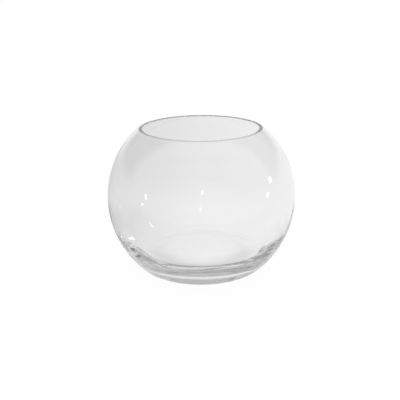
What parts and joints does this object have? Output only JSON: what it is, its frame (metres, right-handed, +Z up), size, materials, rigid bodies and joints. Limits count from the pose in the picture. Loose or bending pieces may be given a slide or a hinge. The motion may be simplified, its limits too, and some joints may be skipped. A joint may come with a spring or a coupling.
{
  "type": "rose bowl vase",
  "caption": "Clear blown-glass rose bowl: a ball-shaped vase with a wide open mouth, a thin, lightly ground lip and a heavy rounded bottom standing on a flat foot.",
  "frame": {"origin": "middle of the flat foot, on the surface the bowl stands on", "axes": "+Z up along the bowl's axis; +X to the picture's right; +Y away from the picture's viewer"},
  "size_m": [0.15, 0.15, 0.1119],
  "materials": {
    "clear_glass": "clear, fire-polished soda-lime glass; only the lip's narrow face is ground satin"
  },
  "bodies": {
    "root": {"glass_bowl": "clear_glass"}
  },
  "joints": []
}
